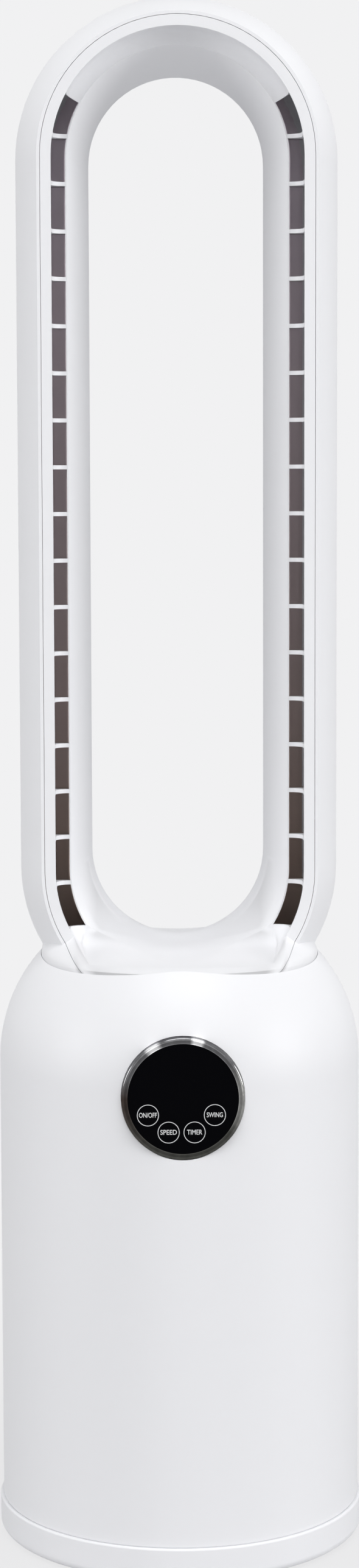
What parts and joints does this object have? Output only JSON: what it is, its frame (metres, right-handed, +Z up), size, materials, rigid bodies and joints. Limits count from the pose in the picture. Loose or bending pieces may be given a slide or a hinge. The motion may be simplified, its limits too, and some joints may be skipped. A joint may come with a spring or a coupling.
{
  "type": "bladeless tower fan",
  "caption": "Free-standing bladeless tower fan: a tall hollow air loop with side slots on a round swinging base with a touch display.",
  "frame": {"origin": "centre of the base on the floor, at the underside of the rubber feet", "axes": "+Z up, -Y towards the front with the display, +X to the right for someone who faces the display"},
  "size_m": [0.232, 0.232, 0.965],
  "materials": {
    "gloss_white": "smooth white moulded plastic with a soft gloss",
    "slide_white": "natural white acetal",
    "duct_grey": "dark grey structural plastic",
    "black_rubber": "soft black rubber",
    "zinc_steel": "zinc plated steel",
    "motor_can": "plain drawn can",
    "board_green": "glass fibre circuit board",
    "mesh_black": "fine black mesh",
    "bright_chrome": "bright plated plastic",
    "display_black": "black tinted window, polished"
  },
  "bodies": {
    "foot": {"foot_shell": "gloss_white", "rubber_feet": "black_rubber", "cord_gland": "black_rubber", "ballast_plate": "zinc_steel", "ballast_screws": "zinc_steel", "pivot_spindle": "slide_white", "spindle_cap": "slide_white", "swing_gear": "slide_white", "slide_ring": "slide_white"},
    "tower": {"turntable": "duct_grey", "swing_motor": "motor_can", "power_board": "board_green", "housing": "gloss_white", "intake_grille": "gloss_white", "dust_screen": "mesh_black", "display_bezel": "bright_chrome", "display_glass": "display_black", "control_board": "board_green", "fan_frame": "duct_grey", "isolators": "black_rubber", "inlet_bell": "duct_grey", "diffuser": "duct_grey", "tail_cone": "duct_grey", "fan_motor": "motor_can", "duct_seal": "black_rubber", "loop_front_cover": "gloss_white", "loop_rear_shell": "gloss_white", "neck_ring": "duct_grey", "neck_screws": "zinc_steel", "housing_screws": "zinc_steel"},
    "swing_drive": {"swing_pinion": "slide_white", "pinion_shaft": "zinc_steel"},
    "fan_rotor": {"impeller": "slide_white", "motor_shaft": "zinc_steel", "impeller_nut": "zinc_steel"}
  },
  "joints": [
    {"name": "swing", "type": "hinge", "parent": "foot", "child": "tower", "pos_m": [0, 0, 0.02], "axis": [0, 0, 1], "range_deg": [-40, 40]},
    {"name": "pinion_turn", "type": "hinge", "parent": "tower", "child": "swing_drive", "pos_m": [0.0338, 0, 0.0105], "axis": [0, 0, 1], "range_deg": [-115, 115]},
    {"name": "rotor_spin", "type": "hinge", "parent": "tower", "child": "fan_rotor", "pos_m": [0, 0, 0.13], "axis": [0, 0, 1], "continuous": true}
  ],
  "couplings": [
    {"joint": "pinion_turn", "follows": "swing", "ratio": 2.8571}
  ]
}
